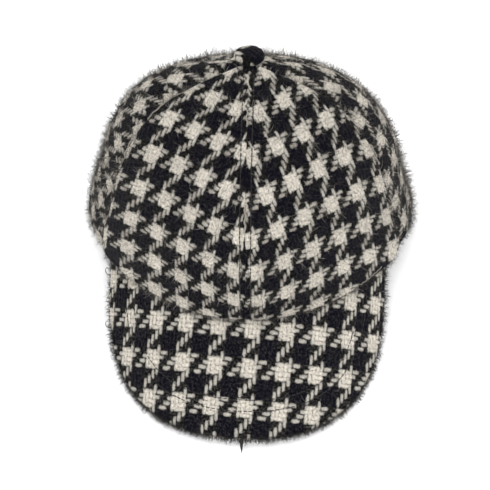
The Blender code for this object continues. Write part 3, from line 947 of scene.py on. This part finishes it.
FIBRE_TAPER = 0.35
FIBRE_CLEARANCE = 0.15 * MM     # of the lowest fibres over the floor
FIBRE_ROOT_DEPTH = 0.05 * MM
EDGE_FIBRE_ROOT = 0.97          # of the edge's radius
EDGE_FIBRE_TURNS = (0.1, 0.75)  # round the edge, in half turns
WISP_SPREAD = 1.0               # of the fibres' headings in one wisp, in radians
# Lengths and widths are in mm, lifts out of the cloth in degrees and curls in radians. A tone goes from 0,
# black, to 1, cream.
CROWN_FUZZ = dict(steps=2, length=(1.4, 3.6), lift=(3, 40), curl=(0.8, 3.2), width=0.1,
                  dark_tones=(0.0, 0.5), cream_tones=(0.55, 0.95))
CROWN_HALO = dict(steps=3, length=(2.2, 9.0), lift=(25, 90), curl=(0.6, 3.6), width=0.13,
                  dark_tones=(0.0, 0.32), cream_tones=(0.3, 0.8), wisp=2)
BUTTON_FUZZ = dict(steps=2, length=(0.8, 2.0), lift=(3, 35), curl=(0.8, 3.2), width=0.09,
                   dark_tones=(0.0, 0.35), cream_tones=(0.5, 0.9))
PEAK_FUZZ = dict(steps=2, length=(1.0, 2.6), lift=(3, 30), curl=(0.8, 3.2), width=0.09,
                 dark_tones=(0.0, 0.6), cream_tones=(0.55, 0.95))
PEAK_HALO = dict(steps=3, length=(1.5, 5.0), lift=(20, 85), curl=(0.5, 3.2), width=0.1,
                 dark_tones=(0.05, 0.5), cream_tones=(0.3, 0.8))
PEAK_EDGE_FUZZ = dict(steps=3, length=(2.0, 6.5), lift=(10, 90), curl=(1.0, 5.0), width=0.15,
                      dark_tones=(0.0, 0.35), cream_tones=(0.15, 0.6), wisp=2)
RIM_FUZZ = dict(steps=3, length=(3.0, 8.0), lift=(8, 70), curl=(0.5, 3.0), width=0.12,
                dark_tones=(0.1, 0.5), cream_tones=(0.35, 0.85), wisp=2)
CROWN_FUZZ_PER_CM2 = 65
CROWN_HALO_PER_CM2 = 42
PEAK_FUZZ_PER_CM2 = 90
PEAK_HALO_PER_CM2 = 8
PEAK_CM2 = 120
PEAK_EDGE_MM = 320
PEAK_EDGE_FIBRES_PER_MM = 32
RIM_FIBRES_PER_MM = 12
SEAM_FIBRES_PER_MM = 5
SEAM_FIBRES_FROM = 0.12         # of the way down a side seam
BUTTON_FIBRES = (400, 200)      # all over it and round its edge
FUZZ_SEED, HALO_SEED, RIM_SEED, SEAM_SEED = 100, 120, 140, 160      # of the first panel; the others follow
PEAK_SEEDS = (300, 301, 302)
BUTTON_SEEDS = (500, 501)


def wisps(count, wisp=1, **_):
    """For each fibre, the number of the first one in its wisp."""
    return np.arange(count) // wisp * wisp


def grow_fibres(name, slot, pick, root, right, normal, cream, steps, length, lift, curl, width, dark_tones,
                cream_tones, wisp=1):
    """Loose fibres from root points: curling ribbons that narrow to a tip, each of one tone."""
    count = len(root)
    tone = np.where(cream, pick.uniform(*cream_tones, count), pick.uniform(*dark_tones, count))
    side = np.cross(normal, right)
    first = wisps(count, wisp)
    shortest, longest = (size * MM for size in length)
    turn = pick.uniform(0, math.tau, (count, 1))[first] + pick.normal(0, WISP_SPREAD, (count, 1))
    rise = np.radians(pick.uniform(*lift, (count, 1)))[first]
    heading = np.cos(rise) * (np.cos(turn) * right + np.sin(turn) * side) + np.sin(rise) * normal
    axis = normal * pick.normal(0, 1, (count, 1))[first]
    axis = unit(axis + np.cross(normal, heading) * pick.normal(0.3, 0.5, (count, 1))[first])
    bend = pick.uniform(*curl, (count, 1))[first] * pick.uniform(0.7, 1.3, (count, 1)) / steps
    stride = (shortest + (longest - shortest) * pick.random((count, 1)) ** 2) / steps
    flatness = np.cross(heading, normal) + 0.6 * pick.normal(size=(count, 3))
    points, spine = [], root
    for k in range(steps):
        across = unit(np.cross(heading, np.cross(flatness, heading)))
        half = width * MM / 2 * (1 - FIBRE_TAPER * k / steps)
        points += [spine - across * half, spine + across * half]
        spine = spine + heading * stride
        heading = (heading * np.cos(bend) + np.cross(axis, heading) * np.sin(bend)
                   + axis * (axis * heading).sum(axis=1, keepdims=True) * (1 - np.cos(bend)))
    each = 2 * steps + 1
    points = np.stack(points + [spine], axis=1).reshape(-1, 3)
    base = (np.arange(count) * each)[:, None]
    quads = np.concatenate([base + [2 * k, 2 * k + 1, 2 * k + 3, 2 * k + 2] for k in range(steps - 1)])
    tips = base + [each - 3, each - 2, each - 1]
    along = np.repeat(np.arange(steps + 1) / steps, 2)[:each]
    values = np.stack([np.repeat(tone, each), np.tile(along, count)], axis=1)
    add_piece(name, points, [(quads, values), (tips, values)], slot, fibres, FIBRE_CLEARANCE)


# ---------------------------------------------------------------- stitches and threads

TUBE_SIDES = 6
STITCH_RINGS = 7
STITCH_RADIUS = 0.32 * MM
STITCH_SINK = 0.5 * MM
PLY_RADIUS = 0.26 * MM
TWIST_PITCH = 2.2 * MM
TWIST_RINGS = 8                 # in one turn of a twisted thread
THREAD_SINK_LENGTH = 1.5 * MM


def add_tubes(name, slot, tubes, material):
    """One piece of closed tubes, each of a line of points, the two directions across it and its radius."""
    angle = np.linspace(0, math.tau, TUBE_SIDES, endpoint=False)[:, None]
    points, faces, total = [], [], 0
    for core, side, up, radius in tubes:
        side, up = (np.broadcast_to(axis, core.shape)[:, None, :] for axis in (side, up))
        ring = np.cos(angle) * side + np.sin(angle) * up
        points.append((core[:, None, :] + np.reshape(radius, (-1, 1, 1)) * ring).reshape(-1, 3))
        faces.append(tube_faces(total + np.arange(len(core) * TUBE_SIDES).reshape(-1, TUBE_SIDES)))
        total += len(points[-1])
    number = np.arange(total)
    values = np.stack([number // TUBE_SIDES, number % TUBE_SIDES], axis=1).astype(float)
    groups = [(np.concatenate(part), values) for part in zip(*faces)]
    add_piece(name, np.concatenate(points), groups, slot, material)


def sew(name, slot, surface, path, pitch, gap, above):
    """A row of stitches along a flat path, each bowed up in the middle and sunk at both ends."""
    length = lengths_along(path)
    places = np.arange(0, length[-1] - pitch, pitch)
    starts, ends = (read_rows(at, length, path) for at in (places + gap / 2, places + pitch - gap / 2))
    ups = surface_axes(surface, (starts + ends) / 2)[1]
    height = np.full(len(starts), above)
    share = np.linspace(0, 1, STITCH_RINGS)[:, None]
    tubes = []
    for start, end, up in zip(surface(starts, height), surface(ends, height), ups):
        core = start + (end - start) * share - up * STITCH_SINK * (1 - np.sin(math.pi * share)) ** 2
        tubes.append((core, np.cross(up, unit(end - start)), up, STITCH_RADIUS))
    add_tubes(name, slot, tubes, dark_thread)


def lay_thread(name, panel, path, material, radius=PLY_RADIUS):
    """A sewing thread of two plies along a flat path on a panel, its ends sunk into the cloth."""
    line = panel.surface(path, np.full(len(path), THREAD_LIFT))
    length = lengths_along(line)
    place = np.linspace(0, length[-1], max(10, int(length[-1] / TWIST_PITCH * TWIST_RINGS)))
    core = read_rows(place, length, line)
    up = read_rows(place, length, surface_axes(panel.surface, path)[1])
    side = np.cross(up, unit(np.gradient(core, axis=0)))
    to_end = np.minimum(place, length[-1] - place) / THREAD_SINK_LENGTH
    core = core - up * (4 * radius * np.clip(1 - to_end, 0, 1) ** 2)[:, None]
    tubes = []
    for phase in (0, math.pi):
        angle = (math.tau * place / TWIST_PITCH + phase)[:, None]
        tubes.append((core + 0.8 * radius * (np.cos(angle) * side + np.sin(angle) * up), side, up, radius))
    add_tubes(name, "crown_cloth", tubes, material)


# ---------------------------------------------------------------- the crown

def build_panel(entry, number):
    start, end, grain = (math.radians(entry[key]) for key in ("start", "end", "grain"))
    panel = Panel(start, end, grain)
    bottom = panel.bottom
    top = float(np.interp(level_near_apex(FIRST_RADIUS), panel.levels, panel.downs))

    def edge_radius(down):
        return np.minimum(EDGE_RADIUS, EDGE_SHARE * (panel.edge(down, end) - panel.edge(down, start)))

    def radius(flat):
        return edge_radius(flat[:, 1])

    def domain(s, t):
        down = top + EDGE_RADIUS + (bottom - top - 2 * EDGE_RADIUS) * t
        inset = edge_radius(down) + SEAM_SLIT / 2
        left, right = panel.edge(down, start) + inset, panel.edge(down, end) - inset
        return np.stack([left + (right - left) * s, down], axis=-1)

    cloth = Cloth(entry["name"], "crown_cloth", crown_cloth, CROWN_RELIEF, domain, panel.surface,
                  panel_check(entry), radius, rings=6, rows=26, columns=14)
    downs = np.linspace(top, bottom, WIDTH_ROWS)
    widths = panel.edge(downs, end) - panel.edge(downs, start)
    area = float(((widths[1:] + widths[:-1]) / 2 * np.diff(downs)).sum())
    area_cm2 = area * 1e4
    cloth.grow_over("fuzz", CROWN_FUZZ, CROWN_FUZZ_PER_CM2 * area_cm2, FUZZ_SEED + number)
    cloth.grow_over("halo", CROWN_HALO, CROWN_HALO_PER_CM2 * area_cm2, HALO_SEED + number)
    across, down = cloth.edge[0].T
    at_rim = down > bottom - 2 * EDGE_RADIUS
    cloth.grow_round("rim", RIM_FUZZ, RIM_FIBRES_PER_MM * float(widths[-1]) / MM, RIM_SEED + number, at_rim)
    if number < 4:
        shown_seam = across < 0 if number in (0, 3) else across > 0
        cloth.grow_round("seam_fuzz", RIM_FUZZ, SEAM_FIBRES_PER_MM * (1 - SEAM_FIBRES_FROM) * bottom / MM,
                         SEAM_SEED + number, shown_seam & ~at_rim & (down > SEAM_FIBRES_FROM * bottom))
    return panel


panels = [build_panel(entry, number) for number, entry in enumerate(PANELS)]


# ---------------------------------------------------------------- the crown's seams

BUTTON_CLEARANCE = 9.5 * MM     # down from the apex to where stitches come out from under the button
SEAM_PATH_POINTS = 120
TOPSTITCH_END = 0.985           # of the way down
# Where the pale seam thread shows: the panel that it lies beside, its seam's azimuth, how far the thread is
# from the seam in mm and where it runs, as shares of the way down.
SEAM_THREADS = (
    (0, 0, -0.2, 0.14, 0.205),
    (0, 0, -0.2, 0.47, 0.575),
    (0, -65, 0.8, 0.27, 0.355),
    (0, -65, 0.3, 0.43, 0.535),
    (1, 68, -0.8, 0.33, 0.375),
    (1, 68, -0.3, 0.478, 0.545),
)
THREAD_LIFT = 0.3 * MM
THREAD_WANDER = 0.35 * MM
THREAD_WAVE = 6.5 * MM
# Two thin yarns that lie on the front right panel above the peak's right end: the azimuths and the shares of
# the way down at their ends, how far the first is beside that line and how far they crinkle.
RIM_YARN_AZIMUTHS = (42, 54)
RIM_YARN_SHARES = (0.99, 0.983)
RIM_YARN_BESIDE = -0.5 * MM
RIM_YARN_GAP = 0.8 * MM
RIM_YARN_PLY = 0.15 * MM
RIM_YARN_POINTS = 160
CRINKLE = 0.3 * MM
CRINKLE_LENGTH = 3.6 * MM


def seam_path(panel, azimuth, offset, low, high):
    """A flat path beside a seam, between two shares of the way down the panel."""
    down = np.linspace(panel.below_button(low), panel.below_button(high), SEAM_PATH_POINTS)
    return np.stack([panel.edge(down, math.radians(azimuth)) + offset, down], axis=1)


def rim_path(panel, beside):
    """A crinkled flat path just above the panel's rim."""
    downs = panel.below_button(np.linspace(*RIM_YARN_SHARES, RIM_YARN_POINTS))
    turns = np.radians(np.linspace(*RIM_YARN_AZIMUTHS, RIM_YARN_POINTS))
    across = [panel.edge(down[None], turn)[0] for down, turn in zip(downs, turns)]
    path = np.stack([across, downs], axis=1)
    steps = np.gradient(path, axis=0)
    size = np.linalg.norm(steps, axis=1)
    sideways = beside + CRINKLE * np.sin(math.tau * (np.cumsum(size) + beside) / CRINKLE_LENGTH)
    return path + left_of(steps) * (sideways / size)[:, None]


for side, panel, beside in (("left", panels[0], -TOPSTITCH_OFFSET), ("right", panels[1], TOPSTITCH_OFFSET)):
    sew(f"topstitch_{side}", "crown_cloth", panel.surface, seam_path(panel, 0, beside, 0, TOPSTITCH_END),
        pitch=3.0 * MM, gap=0.35 * MM, above=0.15 * MM)
for number, (side, seam, beside, low, high) in enumerate(SEAM_THREADS):
    path = seam_path(panels[side], seam, beside * MM, low, high)
    path[:, 0] += THREAD_WANDER * np.sin(math.tau * path[:, 1] / THREAD_WAVE + number)
    lay_thread(f"seam_thread_{number + 1}", panels[side], path, pale_thread)
for number, material in enumerate((pale_thread, dark_thread)):
    path = rim_path(panels[1], RIM_YARN_BESIDE + RIM_YARN_GAP * number)
    lay_thread(f"rim_yarn_{number + 1}", panels[1], path, material, RIM_YARN_PLY)


# ---------------------------------------------------------------- the peak

# Threads that have come loose at the peak's edge: where along the edge, how far round each curls, its radius
# and its thickness at the root, in mm.
LOOSE_CURLS = (
    (-0.902, 330, 2.2, 0.32),
    (-0.80, 200, 1.6, 0.22),
    (-0.715, 310, 2.0, 0.3),
    (-0.62, 250, 1.5, 0.25),
    (-0.52, 280, 1.3, 0.22),
    (0.3, 230, 1.3, 0.22),
    (0.66, 260, 1.4, 0.22),
)
CURL_POINTS = 26
THREAD_END = {"share": 0.017, "length": 9 * MM, "radius": 1.7 * MM, "points": 14}
GROOVE_BATCH = 4000             # places measured at once


def peak_outline(share):
    """Across and forward of the peak's edge; share runs from -1 (left corner) to 1 (right corner)."""
    turn = np.linspace(0, math.pi / 2, OUTLINE_STEPS)
    power = 2 / PEAK_ROUNDNESS
    across = PEAK_HALF_WIDTH * np.sin(turn) ** power
    forward = PEAK_WIDEST_FORWARD + (PEAK_TIP_FORWARD - PEAK_WIDEST_FORWARD) * np.cos(turn) ** power
    across, forward = np.append(across, PEAK_HALF_WIDTH), np.append(forward, PEAK_CORNER_FORWARD)
    length = np.append(0, np.cumsum(np.hypot(np.diff(across), np.diff(forward))))
    place = np.abs(share) * length[-1]
    side = np.sign(share) * np.interp(place, length, across)
    side, reach = rotated(side, np.interp(place, length, forward) - PEAK_CORNER_FORWARD, PEAK_TURN)
    return np.stack([side, reach + PEAK_CORNER_FORWARD], axis=-1)


def peak_edge_inset(share, inset):
    """Places on a line that runs along the peak's edge, that far inside it."""
    near, far = (peak_outline(np.clip(share + step, -1, 1)) for step in (-SHARE_STEP, SHARE_STEP))
    return peak_outline(share) - left_of(unit(far - near)) * np.expand_dims(inset, -1)


def stitch_row(offset):
    """A row of stitches on the peak, a little further from the edge at its ends."""
    share = np.linspace(-0.8, 0.8, 240)
    return peak_edge_inset(share, offset + 1.6 * MM * np.clip((np.abs(share) - 0.3) / 0.4, 0, 1))


PEAK_ROWS = [stitch_row(offset) for offset in PEAK_STITCH_OFFSETS]


def peak_surface(flat, above):
    """Points at a distance above the peak, with a groove along each row of stitches."""
    groove = np.zeros(flat.shape[:-1])
    for row in PEAK_ROWS:
        for part in np.array_split(np.arange(len(flat)), max(1, len(flat) // GROOVE_BATCH)):
            gap = np.linalg.norm(flat[part, None, :] - row[None, ::2, :], axis=-1).min(axis=1)
            groove[part] = np.maximum(groove[part], GROOVE_DEPTH * np.exp(-(gap / GROOVE_WIDTH) ** 2))
    base = peak_point(*flat.T, 0)
    shown = np.clip(1 + above / MM, 0, 1)
    return base + (peak_point(*flat.T, 1) - base) * (above - groove * shown)[:, None]


def build_peak():
    round_radius = PEAK_THICKNESS / 2

    def domain(s, t):
        share = 2 * s - 1
        rim = crown_surface(np.ones_like(share), share * PEAK_ROOT_AZIMUTH)
        inward = 1 - PEAK_ROOT_TUCK / plan_radius(rim)
        root = np.stack(peak_place(rim[..., 0] * inward, APEX_Y + (rim[..., 1] - APEX_Y) * inward), axis=-1)
        base = peak_edge_inset(share, np.full(share.shape, round_radius))
        return root + np.expand_dims(t, -1) * (base - root)

    def radius(flat):
        return np.full(len(flat), round_radius)

    check = straight_check(PEAK_REPEAT, -PEAK_CHECK_TURN, PEAK_STAR, STAR_AT)
    cloth = Cloth("peak", "peak_cloth", peak_cloth, PEAK_RELIEF, domain, peak_surface, check, radius,
                  rings=10, rows=20, columns=44)
    fuzz_seed, halo_seed, edge_seed = PEAK_SEEDS
    cloth.grow_over("fuzz", PEAK_FUZZ, PEAK_FUZZ_PER_CM2 * PEAK_CM2, fuzz_seed)
    cloth.grow_over("halo", PEAK_HALO, PEAK_HALO_PER_CM2 * PEAK_CM2, halo_seed)
    edge = peak_outline(np.linspace(-1, 1, 400))[:, None]
    from_edge = np.linalg.norm(edge - cloth.edge[0][None], axis=-1).min(axis=0)
    cloth.grow_round("edge", PEAK_EDGE_FUZZ, PEAK_EDGE_FIBRES_PER_MM * PEAK_EDGE_MM, edge_seed,
                     from_edge < 1.5 * round_radius)
    for number, row in enumerate(PEAK_ROWS):
        sew(f"peak_stitches_{number + 1}", "peak_cloth", peak_surface, row, pitch=3.1 * MM, gap=0.5 * MM,
            above=0.08 * MM)


def peak_edge_frame(share):
    """A point on the middle of the peak's edge, and unit vectors out of it, along it and up."""
    flat = peak_outline(np.array([share, share + SHARE_STEP]))
    here, beyond = peak_point(*flat.T, -PEAK_THICKNESS / 2)
    along, up = unit(beyond - here), peak_point(*flat[0], 1) - peak_point(*flat[0], 0)
    return here, np.cross(along, up), along, up


def build_loose_threads():
    tubes = []
    for share, turn, curl_radius, thickness in LOOSE_CURLS:
        here, out, along, up = peak_edge_frame(share)
        angle = np.linspace(0, math.radians(turn), CURL_POINTS)[:, None]
        core = here - out * 0.5 * MM + curl_radius * MM * (
            out * 1.2 * (1 - np.cos(angle)) + along * np.sin(angle) + up * 0.25 * angle)
        heading = unit(np.gradient(core, axis=0))
        side = unit(np.cross(up, heading))
        radius = thickness * MM * np.linspace(1, 0.5, CURL_POINTS)
        tubes.append((core, side, np.cross(heading, side), radius))
    add_tubes("loose_curls", "peak_cloth", tubes, dark_thread)
    here, out, along, up = peak_edge_frame(THREAD_END["share"])
    share = np.linspace(0, 1, THREAD_END["points"])[:, None]
    core = (here + out * THREAD_END["length"] * (share - 0.15) - up * 1.0 * MM * share
            + along * 0.5 * MM * share ** 2)
    radius = THREAD_END["radius"] * (1 - 0.93 * share)
    add_tubes("thread_end", "peak_cloth", [(core, along, up, radius)], dark_thread)


build_peak()
build_loose_threads()


# ---------------------------------------------------------------- the button

def crown_height(x, y):
    """Heights of the crown's outside at places near the apex."""
    wanted, distance = np.arctan2(x, APEX_Y - y), np.hypot(x, APEX_Y - y)
    level, azimuth = level_near_apex(distance), wanted
    for _ in range(40):
        found = crown_surface(level, azimuth)
        azimuth = azimuth + wrapped(wanted - np.arctan2(found[..., 0], APEX_Y - found[..., 1]))
        level = level * np.clip(distance / np.maximum(plan_radius(found), 1e-9), 0.5, 2)
    return found[..., 2]


def build_button():
    reach = BUTTON_RADIUS - BUTTON_EDGE
    middle_y = APEX_Y + BUTTON_BACK
    upper_edge = float(crown_height(np.zeros(1), np.array([middle_y]))[0]) + BUTTON_LIFT

    def domain(s, t):
        a, b = 2 * s - 1, 2 * t - 1
        return np.stack([reach * a * np.sqrt(1 - b * b / 2), reach * b * np.sqrt(1 - a * a / 2)], axis=-1)

    def surface(flat, above):
        """The flat place's second number runs to the front. Right down, the underside follows the crown."""
        x, front = flat.T
        share = (x ** 2 + front ** 2) / BUTTON_RADIUS ** 2
        top = upper_edge + BUTTON_BULGE * (1 - share) + front * math.tan(BUTTON_TILT)
        thickness = top - crown_height(x, middle_y - front) - BUTTON_SEAT
        height = top + above * np.where(above < -CROWN_RELIEF, thickness / (2 * BUTTON_EDGE), 1)
        return np.stack([x, middle_y - front, height], axis=1)

    def radius(flat):
        return np.full(len(flat), BUTTON_EDGE)

    check = straight_check(BUTTON_STRETCH * np.array(CROWN_REPEAT), BUTTON_CHECK_TURN,
                           rotated(*BUTTON_SQUARE, BUTTON_CHECK_TURN), SQUARE_AT)
    cloth = Cloth("top_button", "button_cloth", button_cloth, CROWN_RELIEF, domain, surface, check, radius,
                  rings=6, rows=8, columns=8)
    cloth.grow_over("fuzz", BUTTON_FUZZ, BUTTON_FIBRES[0], BUTTON_SEEDS[0])
    cloth.grow_round("edge", BUTTON_FUZZ, BUTTON_FIBRES[1], BUTTON_SEEDS[1], cloth.edge[2] > 0)


def build_shank():
    """The shank under the button, with its flat head inside the crown."""
    turn = np.linspace(0, math.tau, SHANK_SIDES, endpoint=False)
    apex = PROFILE_ROWS_MM[0][1] * MM
    points = np.concatenate([np.stack([reach * MM * np.sin(turn), APEX_Y - reach * MM * np.cos(turn),
                                       np.full(SHANK_SIDES, apex + height * MM)], axis=1)
                             for reach, height in SHANK_PROFILE_MM])
    number = np.arange(len(points))
    values = np.stack([number / SHANK_SIDES, number % SHANK_SIDES], axis=1).astype(float)
    faces = tube_faces(np.roll(number.reshape(-1, SHANK_SIDES)[:, ::-1], 1, axis=1))
    add_piece("top_button_shank", points, [(part, values) for part in faces], "button_cloth", dark_thread)


build_button()
build_shank()
